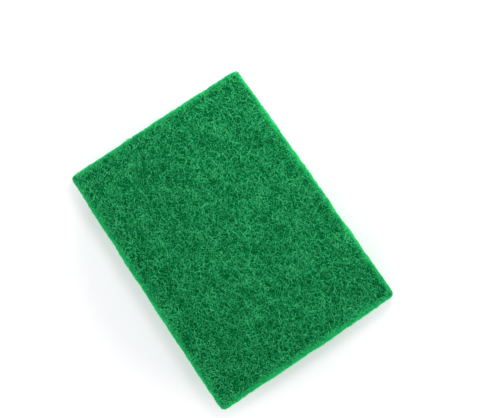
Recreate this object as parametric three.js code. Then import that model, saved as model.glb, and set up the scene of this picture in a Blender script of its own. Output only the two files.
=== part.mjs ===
// Nylon scouring pad: one rectangle of lofty nonwoven nylon web, bonded with resin and die cut.
//
// Millimetres, +Z up. The pad lies on one of its two faces. The origin is in the middle of that
// face, +X runs along the long side and +Y along the short side.
//
// The pad is one solid. Its two faces are uneven, because the web is thicker in some places than
// in others and its fibres stand up in tufts. Its four sides are the cut edges: the die pinches
// the web as it cuts, so the faces fall away to the sides over a few millimetres, and the cut
// itself wanders a little.

import * as THREE from "three";
import { mergeVertices } from "three/addons/utils/BufferGeometryUtils.js";

// Overall sizes of the pad
const LENGTH = 150;
const WIDTH = 108;
const THICKNESS = 8;

// Plan of the cut: rounded corners, sides that bow out a little, and a cut that wanders
const CORNER_RADIUS = 2.4;
const SIDE_BOW = 0.35;
const CUT_WANDER = 0.5;
const CUT_WANDER_PITCH = 24;
const CUT_NIBBLE = 0.35;
const CUT_NIBBLE_PITCH = 8;

// Section at the cut: how far in the faces fall away, and by how much
const TOP_SHOULDER_REACH = 4.2;
const TOP_SHOULDER_DROP = 2.2;
const UNDER_SHOULDER_REACH = 2.4;
const UNDER_SHOULDER_RISE = 1.1;

// Unevenness of the faces: long swells of the web, and the tufts that its fibres stand up in
const SWELL_PITCH = 38;
const SWELL_DEPTH = 0.55;
const TUFT_PITCH = 6.5;
const TOP_TUFT_DEPTH = 0.9;
const UNDER_TUFT_DEPTH = 0.6;
const UNDER_TUFT_PRESSED = 0.4;

// Fineness of the surface: the width of a facet on the faces, and how many rows a side has
const FACET_WIDTH = 2.6;
const SIDE_ROWS = 4;
const EDGE_GATHER = 5;

// Waves that are added up to make one uneven pattern
const WAVES_PER_PATTERN = 20;
const PITCH_SPREAD = 0.35;

// Seeds of the patterns. The underside's puts a pressed tuft under the middle of the pad.
const TOP_SWELL_SEED = 11;
const TOP_TUFT_SEED = 23;
const UNDER_TUFT_SEED = 6;
const CUT_WANDER_SEED = 37;
const CUT_NIBBLE_SEED = 41;

// An uneven pattern over the plan: plane waves of about one pitch that run every way.
// It gives about -1 to 1, and is around 0 on average.
function unevenPattern(pitch, seed) {
  const next = THREE.MathUtils.seededRandom;
  next(seed);
  const waves = Array.from({ length: WAVES_PER_PATTERN }, (_, index) => {
    const heading = (Math.PI * (index + next())) / WAVES_PER_PATTERN;
    const wavelength = pitch * (1 + PITCH_SPREAD * (2 * next() - 1));
    const phase = 2 * Math.PI * next();
    return { heading, wavelength, phase };
  });
  const scale = 1 / Math.sqrt(WAVES_PER_PATTERN * 2);
  return (x, y) => {
    let sum = 0;
    for (const { heading, wavelength, phase } of waves) {
      const along = x * Math.cos(heading) + y * Math.sin(heading);
      sum += Math.cos((2 * Math.PI * along) / wavelength + phase);
    }
    return THREE.MathUtils.clamp(sum * scale, -1, 1);
  };
}

const topSwells = unevenPattern(SWELL_PITCH, TOP_SWELL_SEED);
const topTufts = unevenPattern(TUFT_PITCH, TOP_TUFT_SEED);
const underTufts = unevenPattern(TUFT_PITCH, UNDER_TUFT_SEED);
const cutWander = unevenPattern(CUT_WANDER_PITCH, CUT_WANDER_SEED);
const cutNibble = unevenPattern(CUT_NIBBLE_PITCH, CUT_NIBBLE_SEED);

// How deep a pattern cuts into the web: nothing at its crests, all of the depth in its pits
function hollow(patternValue, depth) {
  return (depth * (1 - patternValue)) / 2;
}

// Moves the evenly spaced rows of the grid towards the sides, where the section bends most
function gatherToSide(coordinate, half) {
  const inFromSide = half - Math.abs(coordinate);
  const gathered = (inFromSide ** 2 * (half + EDGE_GATHER)) / (half * (inFromSide + EDGE_GATHER));
  return Math.sign(coordinate) * (half - gathered);
}

// Turns each square corner of the grid into a quarter of a disc
function roundCorner(point) {
  const cornerX = LENGTH / 2 - CORNER_RADIUS;
  const cornerY = WIDTH / 2 - CORNER_RADIUS;
  const beyondX = Math.abs(point.x) - cornerX;
  const beyondY = Math.abs(point.y) - cornerY;
  if (beyondX <= 0 || beyondY <= 0) return;
  const pull = Math.max(beyondX, beyondY) / Math.hypot(beyondX, beyondY);
  point.x = Math.sign(point.x) * (cornerX + beyondX * pull);
  point.y = Math.sign(point.y) * (cornerY + beyondY * pull);
}

// How far a point of the plan is in from the cut, before the cut wanders
function distanceFromCut(x, y) {
  const beyondX = Math.abs(x) - (LENGTH / 2 - CORNER_RADIUS);
  const beyondY = Math.abs(y) - (WIDTH / 2 - CORNER_RADIUS);
  const outside = Math.hypot(Math.max(beyondX, 0), Math.max(beyondY, 0));
  const inside = Math.min(Math.max(beyondX, beyondY), 0);
  return CORNER_RADIUS - outside - inside;
}

// How far the cut lies inside the full rectangle: along is the place on the side from its
// middle, across is the half width to that side, and height is the place up the side
function cutInset(along, halfAlong, across, height) {
  const bow = SIDE_BOW * (along / halfAlong) ** 2;
  const wander = hollow(cutWander(along, across), CUT_WANDER);
  const nibble = hollow(cutNibble(along, across + height), CUT_NIBBLE);
  return bow + wander + nibble;
}

// Brings the plan in to the cut: a row of the grid shrinks until its end is on the cut
function bringToCut(point) {
  const { x, y, z } = point;
  const insetX = cutInset(y, WIDTH / 2, Math.sign(x) * (LENGTH / 2), z);
  const insetY = cutInset(x, LENGTH / 2, Math.sign(y) * (WIDTH / 2), z);
  point.x = x * (1 - insetX / (LENGTH / 2));
  point.y = y * (1 - insetY / (WIDTH / 2));
}

// A quarter of an ellipse: 1 at the cut, and 0 from the end of the shoulder inwards
function shoulder(fromCut, reach) {
  const share = THREE.MathUtils.clamp(1 - fromCut / reach, 0, 1);
  return 1 - Math.sqrt(1 - share ** 2);
}

function topHeight(x, y, fromCut) {
  const fall = TOP_SHOULDER_DROP * shoulder(fromCut, TOP_SHOULDER_REACH);
  return THICKNESS - fall - hollow(topSwells(x, y), SWELL_DEPTH) - hollow(topTufts(x, y), TOP_TUFT_DEPTH);
}

// The underside rests on its tufts, which are pressed flat, so only the deeper pits are left
function underHeight(x, y, fromCut) {
  const rise = UNDER_SHOULDER_RISE * shoulder(fromCut, UNDER_SHOULDER_REACH);
  const pit = Math.max(0, -underTufts(x, y) - UNDER_TUFT_PRESSED);
  return rise + pit * UNDER_TUFT_DEPTH;
}

// Folds each four-cornered cell along its shorter diagonal, so that the facets follow the tufts
function foldCells(geometry) {
  const places = geometry.getAttribute("position");
  const corners = geometry.getIndex();
  const place = (corner) => new THREE.Vector3().fromBufferAttribute(places, corner);
  for (let start = 0; start < corners.count; start += 6) {
    const [a, b, d, , c] = corners.array.subarray(start, start + 6);
    if (place(a).distanceTo(place(c)) < place(b).distanceTo(place(d))) {
      corners.array.set([a, b, c, a, c, d], start);
    }
  }
}

function padGeometry() {
  const columns = Math.round(LENGTH / FACET_WIDTH);
  const rows = Math.round(WIDTH / FACET_WIDTH);
  const box = new THREE.BoxGeometry(LENGTH, WIDTH, THICKNESS, columns, rows, SIDE_ROWS);
  box.deleteAttribute("normal");
  box.deleteAttribute("uv");
  const geometry = mergeVertices(box);
  const places = geometry.getAttribute("position");
  const point = new THREE.Vector3();
  for (let index = 0; index < places.count; index += 1) {
    point.fromBufferAttribute(places, index);
    const heightShare = point.z / THICKNESS + 0.5;
    point.x = gatherToSide(point.x, LENGTH / 2);
    point.y = gatherToSide(point.y, WIDTH / 2);
    roundCorner(point);
    const fromCut = distanceFromCut(point.x, point.y);
    bringToCut(point);
    const under = underHeight(point.x, point.y, fromCut);
    const top = topHeight(point.x, point.y, fromCut);
    point.z = THREE.MathUtils.lerp(under, top, heightShare);
    places.setXYZ(index, point.x, point.y, point.z);
  }
  foldCells(geometry);
  return geometry;
}

// Puts the middle of the geometry's plan on the origin and its lowest point at height 0
function standOnOrigin(geometry) {
  geometry.computeBoundingBox();
  const box = geometry.boundingBox;
  const middle = box.getCenter(new THREE.Vector3());
  geometry.translate(-middle.x, -middle.y, -box.min.z);
  geometry.computeVertexNormals();
  return geometry;
}

const nylonWeb = new THREE.MeshStandardMaterial({
  name: "nylon_web",
  color: new THREE.Color(0x177c44),
  roughness: 0.9,
  metalness: 0,
});

const pad = new THREE.Mesh(standOnOrigin(padGeometry()), nylonWeb);
pad.name = "scouring_pad";

const object = new THREE.Group();
object.add(pad);

export default object;
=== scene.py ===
"""Dresses the solid scouring pad in its mat of crimped nylon fibres, and sets it on a pale table.

The pad is a nonwoven web: short crimped nylon fibres, laid every way, matted, sprayed with
green resin and die cut. So the solid is replaced by a felted body, which is the depth of the
web, and by single fibres that wander over and through its faces and its cut sides.
"""

import math

import bmesh
import bpy
import numpy as np
from mathutils import Euler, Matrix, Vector, noise
from mathutils.bvhtree import BVHTree


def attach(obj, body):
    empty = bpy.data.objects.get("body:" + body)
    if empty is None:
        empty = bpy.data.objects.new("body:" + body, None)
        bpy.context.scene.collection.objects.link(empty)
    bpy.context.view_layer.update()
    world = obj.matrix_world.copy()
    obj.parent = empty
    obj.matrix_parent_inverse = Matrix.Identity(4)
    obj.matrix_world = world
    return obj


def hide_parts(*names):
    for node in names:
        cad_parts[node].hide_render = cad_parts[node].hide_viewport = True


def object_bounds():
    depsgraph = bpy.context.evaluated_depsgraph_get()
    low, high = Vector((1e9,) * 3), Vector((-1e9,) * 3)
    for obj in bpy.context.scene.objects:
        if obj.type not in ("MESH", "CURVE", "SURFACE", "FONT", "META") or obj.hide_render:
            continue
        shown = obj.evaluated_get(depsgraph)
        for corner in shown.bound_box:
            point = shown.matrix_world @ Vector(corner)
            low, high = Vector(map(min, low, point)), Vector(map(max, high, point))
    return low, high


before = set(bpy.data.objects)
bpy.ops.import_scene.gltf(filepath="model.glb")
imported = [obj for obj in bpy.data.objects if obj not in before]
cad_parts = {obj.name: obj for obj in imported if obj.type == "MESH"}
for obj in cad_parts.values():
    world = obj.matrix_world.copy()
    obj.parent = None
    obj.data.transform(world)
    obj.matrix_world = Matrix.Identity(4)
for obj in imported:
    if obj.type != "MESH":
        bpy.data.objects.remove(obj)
SOLID_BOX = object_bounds()

bl_info = {
    "name": "Scouring pad",
    "version": (1, 0, 0),
    "blender": (4, 5, 0),
    "location": "3D View > Sidebar > Scouring pad",
    "description": "Dresses a solid scouring pad in a mat of crimped nylon fibres",
    "category": "Add Mesh",
}

SOLID = "scouring_pad"
BODY = "root"
MM = 0.001

LOW, HIGH = SOLID_BOX
HALF_LENGTH = (HIGH.x - LOW.x) / 2
HALF_WIDTH = (HIGH.y - LOW.y) / 2
THICKNESS = HIGH.z - LOW.z

# Names of the values that each fibre hands to its finish
TINT = "fibre_tint"
DEPTH = "fibre_depth"

# A fibre is a tube of this many sides
SIDES_OF_FIBRE = 3

# A fibre on a face that the die has cut shorter than this is left out
SHORTEST_FIBRE = 3 * MM

# A fibre that lies this deep in the web gets all of the painted shade that stands for the web's depth
DEPTH_OF_FULL_PAINTED_SHADE = 1 * MM

# Fibres on a face end this far inside the line round the pad, because the cut wanders
CUT_WANDER = 0.3 * MM

# Rays that look for a face start this far off the pad
CLEAR_OF_PAD = 0.02

# The height that the rounded edge turns about, and how far its fibres go round it either way
EDGE_MIDDLE = 0.45 * THICKNESS
EDGE_TURN = math.radians(68)

# Steps over a unit square that fill it evenly, but in no rows
EVEN_STEPS = (0.7548776662, 0.5698402910)

# Corners of the solid that lie closer than this are one corner
WELD = 0.001 * MM

# How often the felt is smoothed before it gets its relief
SMOOTHINGS = 2

# How far the table reaches from the pad
TABLE_REACH = 20

# Seeds of the fibres' shapes and of how they lie. Each layer on a face takes the next one.
FACE_SEED = 101
FACE_LAY_SEED = 151
EDGE_SEED = 301
EDGE_LAY_SEED = 302


def length(name, description, default):
    """A length in metres that a user can change."""
    return bpy.props.FloatProperty(
        name=name, description=description, default=default, min=0, precision=5, unit="LENGTH"
    )


def share(name, description, default):
    """A share from nothing to all."""
    return bpy.props.FloatProperty(
        name=name, description=description, default=default, min=0, max=1, subtype="FACTOR"
    )


def colour(name, description, default):
    """A colour, as the linear numbers that a shader takes."""
    return bpy.props.FloatVectorProperty(
        name=name, description=description, default=default, min=0, max=1, size=3, subtype="COLOR"
    )


def angle(name, description, degrees):
    """An angle, given in degrees."""
    return bpy.props.FloatProperty(
        name=name, description=description, default=math.radians(degrees), subtype="ANGLE"
    )


def count(name, description, default):
    """How many there are of something."""
    return bpy.props.IntProperty(name=name, description=description, default=default, min=1)


def group(name, description, kind):
    """A group of settings."""
    return bpy.props.PointerProperty(name=name, description=description, type=kind)


class WebBodySettings(bpy.types.PropertyGroup):
    """Sizes of the felted body"""

    cuts: count("Cuts", "Cuts of each edge of the solid, for the felt's fine relief", 2)
    sink: length("Sink", "How far the felt lies under the tops of the fibres", 0.6 * MM)
    cut_sink: length("Sink at the cut", "How far the felt lies in from the cut sides", 0.2 * MM)
    cut_reach: length("Cut reach", "How far in from the cut the felt lies less deep", 4 * MM)
    lump_pitch: length("Lump pitch", "Distance between the felt's lumps", 4.5 * MM)
    lump_depth: length("Lump depth", "How much the lumps rise and fall", 0.2 * MM)
    pit_pitch: length("Pit pitch", "Distance between the pits where the felt is open", 1.3 * MM)
    pit_depth: length("Pit depth", "How deep the pits are", 0.55 * MM)
    fill: share("Fill", "How full and tight the web is", 0.8)


class FibreSettings(bpy.types.PropertyGroup):
    """Sizes of the fibres, and how many lie on the faces"""

    radius: length("Radius", "Half the thickness of a resin-coated fibre", 0.13 * MM)
    radius_spread: share("Radius spread", "How much thicker or thinner a fibre may be", 0.3)
    fibre_length: length("Length", "Usual length of fibre that shows", 8 * MM)
    crimp_pitch: length("Crimp pitch", "Length of one wave of the crimp", 4.5 * MM)
    crimp_swing: angle("Crimp swing", "How far the crimp turns a fibre to either side", 63)
    curl: bpy.props.FloatProperty(
        name="Curl", description="How fast a fibre curls, in radians a metre", default=110, min=0
    )
    combing: share("Combing", "How far the fibres lean to the way that the web was combed, +X", 0.8)
    weave_pitch: length("Weave pitch", "Length over which a fibre dips into the web", 4.5 * MM)
    weave_swing: length("Weave swing", "How far a fibre rises and dips", 0.45 * MM)
    top_pieces: count("Top pieces", "Pieces that the top's fibres are made in", 3)
    top_fibres: count("Top fibres", "Fibres in each piece of the top", 3400)
    under_fibres: count("Underside fibres", "Fibres on the underside", 2000)
    points: count("Points", "Points along a fibre", 10)


class CutEdgeSettings(bpy.types.PropertyGroup):
    """The cut sides, and the fibres that show in them"""

    corner_radius: length("Corner radius", "Radius of the pad's corners", 2.4 * MM)
    core: length("Core", "How far in from the cut the middle of the rounded edge is", 4 * MM)
    fibres: count("Fibres", "Fibres that show in the cut sides", 4200)
    points: count("Points", "Points along a fibre", 8)
    fibre_length: length("Length", "Usual length that shows of a cut fibre", 6 * MM)
    slope: angle("Slope", "How far a fibre usually slants up or down", 23)
    weave_swing: length("Weave swing", "How far a fibre rises out of the cut", 0.3 * MM)


class ColourSettings(bpy.types.PropertyGroup):
    """Colours of the resin, with its painted highlight, painted shade of the web's depth and painted light
    at the cut
    """

    # Painted highlight: the whitish glint on the fibres' crowns, painted into the colour of the brightest
    # fibres
    light: colour("Light", "Dry resin on the brightest fibres", (0.11, 0.95, 0.37))
    plain: colour("Plain", "Resin on most fibres", (0.0, 0.50, 0.145))
    # The dullest fibres' own resin, which the painted shade of the web's depth also reaches
    dark: colour("Dark", "Resin on the dullest fibres", (0.0, 0.14, 0.026))
    # Painted shade: the dark of the web's depth, painted into the body's colour
    deep: colour("Deep", "The web between the fibres", (0.0, 0.15, 0.033))
    # Painted light: the light that shines through the thinned web at the cut, painted in as a brighter
    # green
    painted_rim_light: colour("Rim", "Resin on the thinned web at the cut", (0.05, 1.0, 0.33))
    rim_glow: bpy.props.FloatProperty(
        name="Rim glow", description="How strongly the web takes the rim's colour near the cut",
        default=1.3, min=0, max=2,
    )
    rim_reach: length("Rim reach", "How far in from the cut the rim's colour shows", 5.2 * MM)
    roughness: share("Roughness", "Roughness of the dry resin", 0.22)


class StageSettings(bpy.types.PropertyGroup):
    """The table, the light and the camera"""

    floor_colour: colour("Floor", "Colour of the table", (0.92, 0.925, 0.93))
    floor_glow: share("Floor glow", "How much of the table the camera sees as plain white", 0.33)
    glow_level: bpy.props.FloatProperty(
        name="Glow level", description="Brightness of that plain white", default=1.3, min=0
    )
    fade_start: length("Fade start", "How far from the pad's middle the table starts to go white", 0.05)
    fade_end: length("Fade end", "How far from the pad's middle the table is all white", 0.13)
    sky_colour: colour("Sky", "Colour of the light from all round", (0.94, 0.965, 1.0))
    sky_strength: share("Sky strength", "Light from all round, 1 being the whole of it", 0.65)
    ceiling: share("Ceiling", "How bright the ceiling is beside the walls", 0.1)
    key_colour: colour("Key", "Colour of the lamp", (1.0, 0.99, 0.96))
    key_heading: angle("Key heading", "Where the lamp stands round the pad, from +X to +Y", 122)
    key_height: angle("Key height", "Angle of the lamp above the table", 43)
    key_away: length("Key distance", "How far away the lamp is", 0.32)
    key_size: length("Key size", "Width of the lamp", 0.15)
    camera_place: bpy.props.FloatVectorProperty(
        name="Camera place", description="Where the camera stands", size=3,
        default=(0.1467, -0.0309, 0.6715), subtype="TRANSLATION",
    )
    camera_turn: bpy.props.FloatVectorProperty(
        name="Camera turn", description="How the camera is turned", size=3,
        default=tuple(math.radians(turn) for turn in (12.92, 3.821, 56.46)), subtype="EULER",
    )
    lens: bpy.props.FloatProperty(
        name="Lens", description="Focal length in millimetres", default=93.6, min=1
    )


class ScouringPadSettings(bpy.types.PropertyGroup):
    """All the settings of the pad"""

    body: group("Body", "Sizes of the felted body", WebBodySettings)
    fibre: group("Fibres", "Sizes of the fibres", FibreSettings)
    edge: group("Cut edge", "The cut sides", CutEdgeSettings)
    colours: group("Colours", "Colours of the resin", ColourSettings)
    stage: group("Stage", "Table, light and camera", StageSettings)


class Number:
    """A socket that gives one number. Sums on it add Math nodes to its material."""

    def __init__(self, finish, socket):
        self.finish = finish
        self.socket = socket

    def worked(self, operation, *values):
        """The number that a Math node makes of the values."""
        node = self.finish.node("ShaderNodeMath", {"operation": operation}, dict(enumerate(values)))
        return Number(self.finish, node.outputs[0])

    def __add__(self, other):
        return self.worked("ADD", self, other)

    def __sub__(self, other):
        return self.worked("SUBTRACT", self, other)

    def __rsub__(self, other):
        return self.worked("SUBTRACT", other, self)

    def __mul__(self, other):
        return self.worked("MULTIPLY", self, other)

    def __truediv__(self, other):
        return self.worked("DIVIDE", self, other)

    def __pow__(self, other):
        return self.worked("POWER", self, other)

    __radd__ = __add__
    __rmul__ = __mul__

    def __abs__(self):
        return self.worked("ABSOLUTE", self)

    def smaller(self, other):
        """The smaller of the two numbers."""
        return self.worked("MINIMUM", self, other)

    def within(self, low=0.0, high=1.0):
        """The number, kept between two others."""
        return self.worked("MINIMUM", self.worked("MAXIMUM", self, low), high)


class Finish:
    """A material, or the world, that is written as expressions."""

    def __init__(self, owner):
        owner.use_nodes = True
        self.owner = owner
        self.tree = owner.node_tree
        self.tree.nodes.clear()

    def node(self, kind, settings=None, sockets=None):
        """Adds a node, sets its settings, then gives its sockets their values or links."""
        made = self.tree.nodes.new(kind)
        for name, value in (settings or {}).items():
            setattr(made, name, value)
        for name, value in (sockets or {}).items():
            value = getattr(value, "socket", value)
            if isinstance(value, bpy.types.NodeSocket):
                self.tree.links.new(value, made.inputs[name])
            else:
                made.inputs[name].default_value = value
        return made

    def number(self, node, output):
        """One output of a node, ready for sums."""
        return Number(self, node.outputs[output])

    def blend(self, factor, first, second):
        """Goes from the first colour to the second as factor goes from 0 to 1."""
        settings = {"data_type": "RGBA", "blend_type": "MIX", "clamp_factor": True}
        made = self.node("ShaderNodeMix", settings, {0: factor, 6: first, 7: second})
        return made.outputs[2]

    def attribute(self, name):
        """A number that the mesh holds at each of its corners."""
        made = self.node("ShaderNodeAttribute", {"attribute_name": name})
        return self.number(made, "Fac")

    def place(self):
        """Where a point is on the pad, in metres."""
        return self.node("ShaderNodeTexCoord").outputs["Object"]

    def grain(self, place, pitch, detail=3.0, roughness=0.6):
        """Soft uneven noise of a pitch in metres, from 0 to 1."""
        sockets = {"Vector": place, "Scale": 1 / pitch, "Detail": detail, "Roughness": roughness}
        return self.number(self.node("ShaderNodeTexNoise", None, sockets), 0)


def opaque(rgb):
    """A colour with the fourth number that a socket wants."""
    return (*rgb, 1.0)


def painted_rim_light_mask(finish, place, reach):
    """1 at the cut and 0 from reach inwards: where painted light shines through the web that the die has
    thinned.
    """
    parts = finish.node("ShaderNodeSeparateXYZ", None, {0: place})
    inside_x = HALF_LENGTH - abs(finish.number(parts, "X"))
    inside_y = HALF_WIDTH - abs(finish.number(parts, "Y"))
    inside = inside_x.smaller(inside_y)
    return (1 - (inside / reach).within()) ** 2


def fibre_finish(colours):
    """Dry green resin on nylon: duller and brighter fibres, grit in the resin, a painted highlight on the
    brightest, painted shade on deep fibres and painted light at the cut.
    """
    finish = Finish(bpy.data.materials.new("resin_on_fibre"))
    place = finish.place()
    tint = finish.attribute(TINT)
    depth = finish.attribute(DEPTH)
    patches = finish.grain(place, 9 * MM)
    grit = finish.grain(place, 0.7 * MM)
    painted_rim_light = painted_rim_light_mask(finish, place, colours.rim_reach)
    uneven = (patches - 0.5) * 0.5 + (grit - 0.5) * 3.8
    # Fibres lower in the web are darker: painted shade of the web's depth
    bright = 0.66 + (tint - 0.5) * 1.1 + uneven - depth * 0.2
    dull_and_painted_shade = finish.blend((bright * 2).within(), opaque(colours.dark), opaque(colours.plain))
    # The brightest fibres turn to the light colour, a painted highlight
    resin = finish.blend((bright * 2 - 1).within(), dull_and_painted_shade, opaque(colours.light))
    # Painted light near the cut: the fibres turn to the rim colour, as if light shone through the thin web
    painted_rim_light_colour = finish.blend((bright + 0.35).within(), opaque(colours.plain), opaque(colours.painted_rim_light))
    lit = finish.blend((painted_rim_light * colours.rim_glow).within(), resin, painted_rim_light_colour)
    roughness = (grit * 0.2 + colours.roughness - 0.1).within()
    bump = finish.node(
        "ShaderNodeBump", None, {"Strength": 1.0, "Distance": 0.17 * MM, "Height": grit}
    )
    shader = finish.node(
        "ShaderNodeBsdfPrincipled",
        None,
        {"Base Color": lit, "Roughness": roughness, "Normal": bump.outputs[0], "Specular IOR Level": 0.06},
    )
    finish.node("ShaderNodeOutputMaterial", None, {"Surface": shader.outputs[0]})
    return finish.owner


def web_finish(colours):
    """The depth of the web, where fibres lie too close to tell apart. Its dark green is painted shade of
    that depth, and near the cut it takes painted light.
    """
    finish = Finish(bpy.data.materials.new("resin_in_web"))
    place = finish.place()
    strands = finish.grain(place, 0.5 * MM, detail=4.0, roughness=0.7)
    painted_rim_light = painted_rim_light_mask(finish, place, colours.rim_reach)
    bright = (strands - 0.5) * 3
    # The body's strands go from the painted shade of the depth to the plain resin
    web = finish.blend(bright.within(), opaque(colours.deep), opaque(colours.plain))
    # Painted light near the cut: the web turns to the rim colour, as if light shone through it
    painted_rim_light_colour = finish.blend((bright + 0.7).within(), opaque(colours.dark), opaque(colours.painted_rim_light))
    lit = finish.blend((painted_rim_light * colours.rim_glow).within(), web, painted_rim_light_colour)
    bump = finish.node(
        "ShaderNodeBump", None, {"Strength": 0.8, "Distance": 0.3 * MM, "Height": strands}
    )
    shader = finish.node(
        "ShaderNodeBsdfPrincipled",
        None,
        {"Base Color": lit, "Roughness": 0.8, "Normal": bump.outputs[0], "Specular IOR Level": 0.06},
    )
    finish.node("ShaderNodeOutputMaterial", None, {"Surface": shader.outputs[0]})
    return finish.owner


def material(name, make, colours):
    """A finish by its name, made the first time that it is asked for."""
    return bpy.data.materials.get(name) or make(colours)


def add_piece(context, name, mesh, finish):
    """Puts a mesh into the scene as a piece of the pad."""
    mesh.materials.append(finish)
    mesh.shade_smooth()
    piece = bpy.data.objects.new(name, mesh)
    context.scene.collection.objects.link(piece)
    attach(piece, BODY)
    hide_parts(SOLID)
    return piece


def solid_copy():
    """The solid's surface as one closed mesh that can be cut finer."""
    surface = bmesh.new()
    surface.from_mesh(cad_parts[SOLID].data)
    bmesh.ops.remove_doubles(surface, verts=surface.verts, dist=WELD)
    return surface


def solid_tree():
    """The solid's surface, ready to be met by rays."""
    surface = solid_copy()
    tree = BVHTree.FromBMesh(surface)
    surface.free()
    return tree


def felt_relief(place, settings):
    """How far the felt lies in from the solid's surface at a place. It lies less deep at the cut."""
    from_cut = min(HALF_LENGTH - abs(place.x), HALF_WIDTH - abs(place.y))
    from_cut_share = min(1.0, max(0.0, from_cut / settings.cut_reach))
    sink = settings.cut_sink + (settings.sink - settings.cut_sink) * from_cut_share
    lumps = noise.noise(place / settings.lump_pitch)
    pits = noise.noise(place / settings.pit_pitch + Vector((7, 3, 5)))
    return sink + settings.lump_depth * (0.5 - lumps) + settings.pit_depth * max(0.0, pits)


def felt_mesh(settings):
    """The solid's surface, cut finer, smoothed and given the felt's lumps and pits."""
    surface = solid_copy()
    bmesh.ops.subdivide_edges(surface, edges=surface.edges, cuts=settings.cuts, use_grid_fill=True)
    bmesh.ops.triangulate(surface, faces=surface.faces)
    for _ in range(SMOOTHINGS):
        bmesh.ops.smooth_vert(
            surface, verts=surface.verts, factor=0.5, use_axis_x=True, use_axis_y=True, use_axis_z=True
        )
    surface.normal_update()
    moved = [
        vertex.co - vertex.normal * felt_relief(vertex.co, settings) for vertex in surface.verts
    ]
    for vertex, place in zip(surface.verts, moved):
        vertex.co = place
    mesh = bpy.data.meshes.new("web_body")
    surface.to_mesh(mesh)
    surface.free()
    return mesh


class SCOURING_PAD_OT_web_body(bpy.types.Operator):
    """Make the felted body of the pad"""

    bl_idname = "scouring_pad.web_body"
    bl_label = "Web body"

    def execute(self, context):
        settings = context.scene.scouring_pad
        finish = material("resin_in_web", web_finish, settings.colours)
        body = add_piece(context, "web_body", felt_mesh(settings.body), finish)
        return {"FINISHED"}


def face_skin(tree, side):
    """Gives the place and the outward direction on a face, for a point of the plan.

    side is 1 for the top and -1 for the underside.
    """
    start_height = THICKNESS / 2 + side * CLEAR_OF_PAD
    inward = Vector((0, 0, -side))

    def skin(x, y):
        place, outward, _, _ = tree.ray_cast(Vector((x, y, start_height)), inward)
        if place is None:
            place, outward, _, _ = tree.find_nearest(Vector((x, y, THICKNESS / 2 * (1 + side))))
        return place, outward

    return skin


def cut_line_length(radius):
    """The length of the line that the die cuts round the pad."""
    return 4 * (HALF_LENGTH + HALF_WIDTH - 2 * radius) + 2 * math.pi * radius


def on_cut_line(along, radius):
    """The point of the cut line at a distance along it, and the direction out of the pad there."""
    along %= cut_line_length(radius)
    arc = radius * math.pi / 2
    for quarter in range(4):
        reach, half = (HALF_LENGTH, HALF_WIDTH) if quarter % 2 == 0 else (HALF_WIDTH, HALF_LENGTH)
        out = Vector((math.cos(quarter * math.pi / 2), math.sin(quarter * math.pi / 2), 0))
        onward = Vector((-out.y, out.x, 0))
        straight = 2 * (half - radius)
        if along <= straight:
            return out * reach + onward * (along - straight / 2), out
        along -= straight
        if along <= arc:
            outward = out * math.cos(along / radius) + onward * math.sin(along / radius)
            return out * (reach - radius) + onward * (half - radius) + outward * radius, outward
        along -= arc
    return on_cut_line(0, radius)


def cut_skin(tree, settings):
    """Gives the place and the outward direction on the rounded edge.

    A point is given by a distance along the cut, and a distance round the edge from its middle.
    """

    def skin(along, up):
        point, outward = on_cut_line(along, settings.corner_radius)
        core = point - outward * settings.core
        core.z = EDGE_MIDDLE
        angle = up / settings.core
        direction = outward * math.cos(angle) + Vector((0, 0, math.sin(angle)))
        place, _, _, _ = tree.ray_cast(core, direction)
        return place, direction

    return skin


class Crimps:
    """The chance shapes of many fibres: where each starts, where it heads and how it crimps."""

    def __init__(self, random, starts, headings, lengths, settings):
        number = len(starts)
        self.starts = starts
        self.headings = headings
        self.first = np.zeros(number)
        self.last = lengths
        self.crimp_pitch = settings.crimp_pitch * random.uniform(0.6, 1.5, number)
        self.crimp_phase = random.uniform(0, 2 * math.pi, number)
        self.crimp_swing = settings.crimp_swing * random.uniform(0.4, 1.4, number)
        self.curl = settings.curl * random.laplace(0, 1, number)

    def paths(self, points):
        """The fibres as flat paths, an array of (fibres, points, 2)."""
        steps = np.linspace(0, 1, points)
        along = self.first[:, None] + (self.last - self.first)[:, None] * steps
        fine = np.linspace(0, self.last, 4 * points, axis=1)
        waves = np.sin(2 * math.pi * fine / self.crimp_pitch[:, None] + self.crimp_phase[:, None])
        heading = self.headings[:, None] + self.crimp_swing[:, None] * waves + self.curl[:, None] * fine
        stride = np.diff(fine, axis=1)
        flat = np.empty((len(fine), points, 2))
        for axis, turned in enumerate((np.cos(heading), np.sin(heading))):
            gained = np.cumsum(turned[:, :-1] * stride, axis=1)
            walked = self.starts[:, axis, None] + np.concatenate([np.zeros((len(fine), 1)), gained], axis=1)
            for index in range(len(fine)):
                flat[index, :, axis] = np.interp(along[index], fine[index], walked[index])
        return flat

    def keep(self, chosen):
        """Leaves only the chosen fibres."""
        for name, values in vars(self).items():
            setattr(self, name, values[chosen])

    def cut_to(self, inside, points):
        """Cuts each fibre down to its stretch that lies inside, and drops the shortest."""
        within = inside(self.paths(points))
        first = within.argmax(axis=1)
        last = points - 1 - within[:, ::-1].argmax(axis=1)
        span = self.last / (points - 1)
        self.first, self.last = first * span, last * span
        self.keep(within.any(axis=1) & (self.last - self.first > SHORTEST_FIBRE))


def inside_cut(flat, radius):
    """Which points of the plan lie inside the cut line, less a little for its wander."""
    beyond = np.abs(flat) - (np.array([HALF_LENGTH, HALF_WIDTH]) - radius)
    outside = np.linalg.norm(np.maximum(beyond, 0), axis=2)
    return outside + np.minimum(beyond.max(axis=2), 0) < radius - CUT_WANDER


def evenly_spread(random, number):
    """Points that fill a unit square evenly, but in no rows."""
    return (random.uniform(0, 1, 2) + np.arange(number)[:, None] * EVEN_STEPS) % 1


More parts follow.
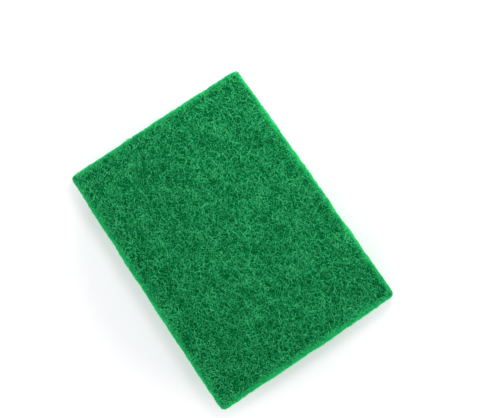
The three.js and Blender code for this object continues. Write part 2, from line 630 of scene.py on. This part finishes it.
def face_crimps(random, wanted, settings, radius):
    """Fibres that lie every way over a face and end where the die has cut them."""
    reach = np.array([HALF_LENGTH, HALF_WIDTH]) + settings.fibre_length / 2
    number = int(wanted * np.prod(reach) / (HALF_LENGTH * HALF_WIDTH))
    starts = reach * (2 * evenly_spread(random, number) - 1)
    headings = random.uniform(0, 2 * math.pi, number)
    headings -= settings.combing / 2 * np.sin(2 * headings)
    lengths = settings.fibre_length * random.uniform(0.6, 1.4, number)
    starts -= np.stack([np.cos(headings), np.sin(headings)], axis=1) * lengths[:, None] / 2
    crimps = Crimps(random, starts, headings, lengths, settings)
    crimps.cut_to(lambda flat: inside_cut(flat, radius), 4 * settings.points)
    return crimps


def cut_crimps(random, settings, fibre_settings):
    """Fibres that run along the cut, round the edge from one face to the other."""
    number = settings.fibres
    reach = settings.core * EDGE_TURN
    around = random.uniform(0, cut_line_length(settings.corner_radius), number)
    up = random.uniform(-reach, reach, number)
    headings = random.normal(0, settings.slope, number) + math.pi * random.integers(0, 2, number)
    lengths = settings.fibre_length * random.uniform(0.5, 1.5, number)
    return Crimps(random, np.stack([around, up], axis=1), headings, lengths, fibre_settings)


def lay_on(skin, flat, lifts):
    """Lays flat paths on a skin, lifted off it. Gives places and outward directions."""
    places = np.empty((*flat.shape[:2], 3))
    outwards = np.empty_like(places)
    for fibre, path in enumerate(flat):
        for point, (across, along) in enumerate(path):
            place, outward = skin(across, along)
            places[fibre, point] = place + outward * lifts[fibre, point]
            outwards[fibre, point] = outward
    return places, outwards


def weave_lifts(random, number, points, pitch, swing, span):
    """How far each point of each fibre lies out of the skin, as it weaves in and out of the web."""
    along = np.linspace(0, span, points)
    phase = random.uniform(0, 2 * math.pi, (number, 1))
    pitches = pitch * random.uniform(0.6, 1.5, (number, 1))
    base = swing * random.uniform(-1.4, 0.2, (number, 1))
    swings = swing * random.uniform(0.3, 1.0, (number, 1))
    return base + swings * np.sin(2 * math.pi * along / pitches + phase)


def normalised(vectors):
    """The same directions with a length of 1."""
    return vectors / np.maximum(np.linalg.norm(vectors, axis=-1, keepdims=True), 1e-12)


def fibre_rings(places, outwards, radii):
    """The corners round each point of each fibre, an array of (fibres, points, sides, 3)."""
    tangents = normalised(np.gradient(places, axis=1))
    across = normalised(np.cross(tangents, outwards))
    upward = np.cross(across, tangents)
    angles = 2 * math.pi * np.arange(SIDES_OF_FIBRE) / SIDES_OF_FIBRE + math.pi / 2
    spokes = (
        across[:, :, None] * np.cos(angles)[None, None, :, None]
        + upward[:, :, None] * np.sin(angles)[None, None, :, None]
    )
    return places[:, :, None] + spokes * radii[:, :, None, None]


def fibre_faces(fibres, points):
    """The corners of every face: the walls of each fibre, then its two ends."""
    faces = []
    for fibre in range(fibres):
        base = fibre * points * SIDES_OF_FIBRE
        for ring in range(base, base + (points - 1) * SIDES_OF_FIBRE, SIDES_OF_FIBRE):
            for side in range(SIDES_OF_FIBRE):
                after = (side + 1) % SIDES_OF_FIBRE
                lower, upper = ring, ring + SIDES_OF_FIBRE
                faces.append((lower + side, lower + after, upper + after, upper + side))
        top = base + (points - 1) * SIDES_OF_FIBRE
        faces.append(tuple(base + side for side in reversed(range(SIDES_OF_FIBRE))))
        faces.append(tuple(top + side for side in range(SIDES_OF_FIBRE)))
    return faces


def fibre_mesh(name, places, outwards, radii, tints, lifts):
    """One mesh of many fibres, each a closed tube with its own tint."""
    fibres, points = radii.shape
    corners = fibre_rings(places, outwards, radii).reshape(-1, 3)
    corners[:, 2] = np.maximum(corners[:, 2], LOW.z)
    mesh = bpy.data.meshes.new(name)
    mesh.from_pydata(corners.tolist(), [], fibre_faces(fibres, points))
    tint = mesh.attributes.new(TINT, "FLOAT", "POINT")
    tint.data.foreach_set("value", np.repeat(tints, points * SIDES_OF_FIBRE).astype(np.float32))
    # How deep each point lies, for the painted shade of the web's depth
    sunk = np.clip(-lifts / DEPTH_OF_FULL_PAINTED_SHADE, 0, 1)
    depth = mesh.attributes.new(DEPTH, "FLOAT", "POINT")
    depth.data.foreach_set("value", np.repeat(sunk.ravel(), SIDES_OF_FIBRE).astype(np.float32))
    return mesh


def add_fibres(context, name, seed, skin, crimps, points, weave_swing):
    """Lays fibres on a skin and adds them as one piece."""
    settings = context.scene.scouring_pad
    fibre = settings.fibre
    random = np.random.default_rng(seed)
    flat = crimps.paths(points)
    number = len(flat)
    lifts = weave_lifts(random, number, points, fibre.weave_pitch, weave_swing, fibre.fibre_length)
    places, outwards = lay_on(skin, flat, lifts)
    spread = fibre.radius_spread
    radii = fibre.radius * random.uniform(1 - spread, 1 + spread, (number, 1))
    radii = radii * random.uniform(0.85, 1.15, (number, points))
    tints = np.clip(random.normal(0.5, 0.25, number), 0, 1)
    mesh = fibre_mesh(name, places, outwards, radii, tints, lifts)
    return add_piece(context, name, mesh, material("resin_on_fibre", fibre_finish, settings.colours))


class SCOURING_PAD_OT_face_fibres(bpy.types.Operator):
    """Lay the crimped fibres over the two faces of the pad"""

    bl_idname = "scouring_pad.face_fibres"
    bl_label = "Face fibres"

    def execute(self, context):
        settings = context.scene.scouring_pad
        fibre = settings.fibre
        tree = solid_tree()
        layers = [(f"top_fibres_{index + 1}", 1, fibre.top_fibres) for index in range(fibre.top_pieces)]
        layers.append(("underside_fibres", -1, fibre.under_fibres))
        for index, (name, side, wanted) in enumerate(layers):
            random = np.random.default_rng(FACE_SEED + index)
            crimps = face_crimps(random, wanted, fibre, settings.edge.corner_radius)
            skin = face_skin(tree, side)
            seed = FACE_LAY_SEED + index
            add_fibres(context, name, seed, skin, crimps, fibre.points, fibre.weave_swing)
        return {"FINISHED"}


class SCOURING_PAD_OT_cut_edge_fibres(bpy.types.Operator):
    """Lay the cut fibres that show in the four sides of the pad"""

    bl_idname = "scouring_pad.cut_edge_fibres"
    bl_label = "Cut edge fibres"

    def execute(self, context):
        settings = context.scene.scouring_pad
        edge = settings.edge
        random = np.random.default_rng(EDGE_SEED)
        crimps = cut_crimps(random, edge, settings.fibre)
        skin = cut_skin(solid_tree(), edge)
        seed = EDGE_LAY_SEED
        add_fibres(context, "cut_edge_fibres", seed, skin, crimps, edge.points, edge.weave_swing)
        return {"FINISHED"}


def seen_directly(finish):
    """1 where the camera looks, straight or by way of a gloss or a glass, and 0 for other light."""
    path = finish.node("ShaderNodeLightPath")
    seen = finish.number(path, "Is Camera Ray") + finish.number(path, "Is Glossy Ray")
    return (seen + finish.number(path, "Is Transmission Ray")).within()


def table_finish(settings):
    """White paint that the camera sees a little lighter, and as plain white away from the pad."""
    finish = Finish(bpy.data.materials.new("table_paint"))
    away = finish.node("ShaderNodeVectorMath", {"operation": "LENGTH"}, {0: finish.place()})
    fade = settings.fade_end - settings.fade_start
    faded = (finish.number(away, "Value") - settings.fade_start) / fade
    glow_share = faded.within(settings.floor_glow)
    paint = finish.node("ShaderNodeBsdfDiffuse", None, {"Color": opaque(settings.floor_colour)})
    glow = finish.node("ShaderNodeEmission", None, {"Strength": settings.glow_level})
    mixed = finish.node(
        "ShaderNodeMixShader",
        None,
        {0: seen_directly(finish) * glow_share, 1: paint.outputs[0], 2: glow.outputs[0]},
    )
    finish.node("ShaderNodeOutputMaterial", None, {"Surface": mixed.outputs[0]})
    return finish.owner


def add_floor(context, settings):
    """A wide pale table top under the pad."""
    surface = bmesh.new()
    bmesh.ops.create_grid(surface, x_segments=1, y_segments=1, size=TABLE_REACH)
    mesh = bpy.data.meshes.new("table_top")
    surface.to_mesh(mesh)
    surface.free()
    mesh.materials.append(table_finish(settings))
    floor = bpy.data.objects.new("table_top", mesh)
    context.scene.collection.objects.link(floor)


def light_world(context, settings):
    """Soft light from all round, more of it from the walls. The camera sees it as white."""
    world = bpy.data.worlds.new("studio")
    context.scene.world = world
    finish = Finish(world)
    direction = finish.node("ShaderNodeTexCoord").outputs["Generated"]
    parts = finish.node("ShaderNodeSeparateXYZ", None, {0: direction})
    walls = Vector(settings.sky_colour)
    sky = finish.blend(
        finish.number(parts, "Z").within(), opaque(walls), opaque(walls * settings.ceiling)
    )
    strength = settings.sky_strength / (1 - (1 - settings.ceiling) * 2 / 3)
    light = finish.node("ShaderNodeBackground", None, {"Color": sky, "Strength": strength})
    white = finish.node("ShaderNodeBackground", None, {"Color": opaque((1, 1, 1)), "Strength": 1.0})
    mixed = finish.node(
        "ShaderNodeMixShader",
        None,
        {0: seen_directly(finish), 1: light.outputs[0], 2: white.outputs[0]},
    )
    finish.node("ShaderNodeOutputWorld", None, {"Surface": mixed.outputs[0]})


def add_key_light(context, settings):
    """A wide soft lamp that makes up the light that the sky leaves out."""
    lamp = bpy.data.lights.new("key_light", "AREA")
    lamp.shape = "DISK"
    lamp.color = settings.key_colour
    lamp.size = settings.key_size
    level = (1 - settings.sky_strength) / math.sin(settings.key_height)
    lamp.energy = level * (math.pi * settings.key_away) ** 2
    key = bpy.data.objects.new("key_light", lamp)
    turn = Euler((0, math.pi / 2 - settings.key_height, settings.key_heading))
    key.rotation_euler = turn
    key.location = turn.to_matrix() @ Vector((0, 0, settings.key_away))
    context.scene.collection.objects.link(key)


def add_camera(context, settings):
    """The camera, where the photograph was taken from."""
    camera = bpy.data.cameras.new("camera")
    camera.lens = settings.lens
    camera.clip_start = 0.01
    held = bpy.data.objects.new("camera", camera)
    held.location = settings.camera_place
    held.rotation_euler = settings.camera_turn
    context.scene.collection.objects.link(held)
    context.scene.camera = held


class SCOURING_PAD_OT_stage(bpy.types.Operator):
    """Set the table, the light and the camera"""

    bl_idname = "scouring_pad.stage"
    bl_label = "Stage"

    def execute(self, context):
        settings = context.scene.scouring_pad.stage
        context.scene.view_settings.view_transform = "Standard"
        add_floor(context, settings)
        light_world(context, settings)
        add_key_light(context, settings)
        add_camera(context, settings)
        return {"FINISHED"}


class SCOURING_PAD_PT_panel(bpy.types.Panel):
    """Lists the steps that make the pad"""

    bl_label = "Scouring pad"
    bl_idname = "SCOURING_PAD_PT_panel"
    bl_space_type = "VIEW_3D"
    bl_region_type = "UI"
    bl_category = "Scouring pad"

    def draw(self, context):
        settings = context.scene.scouring_pad
        for operator, groups in zip(OPERATORS, PANEL_GROUPS):
            box = self.layout.box()
            box.operator(operator.bl_idname)
            for part in (getattr(settings, name) for name in groups):
                for name in part.__annotations__:
                    box.prop(part, name)


OPERATORS = (
    SCOURING_PAD_OT_web_body,
    SCOURING_PAD_OT_face_fibres,
    SCOURING_PAD_OT_cut_edge_fibres,
    SCOURING_PAD_OT_stage,
)
PANEL_GROUPS = (("body", "colours"), ("fibre",), ("edge",), ("stage",))
SETTINGS = (
    WebBodySettings,
    FibreSettings,
    CutEdgeSettings,
    ColourSettings,
    StageSettings,
    ScouringPadSettings,
)
CLASSES = (*SETTINGS, *OPERATORS, SCOURING_PAD_PT_panel)


def register():
    for cls in CLASSES:
        bpy.utils.register_class(cls)
    bpy.types.Scene.scouring_pad = bpy.props.PointerProperty(type=ScouringPadSettings)


def unregister():
    del bpy.types.Scene.scouring_pad
    for cls in reversed(CLASSES):
        bpy.utils.unregister_class(cls)


def main():
    register()
    bpy.ops.scouring_pad.web_body()
    bpy.ops.scouring_pad.face_fibres()
    bpy.ops.scouring_pad.cut_edge_fibres()
    bpy.ops.scouring_pad.stage()


if __name__ == "__main__":
    main()
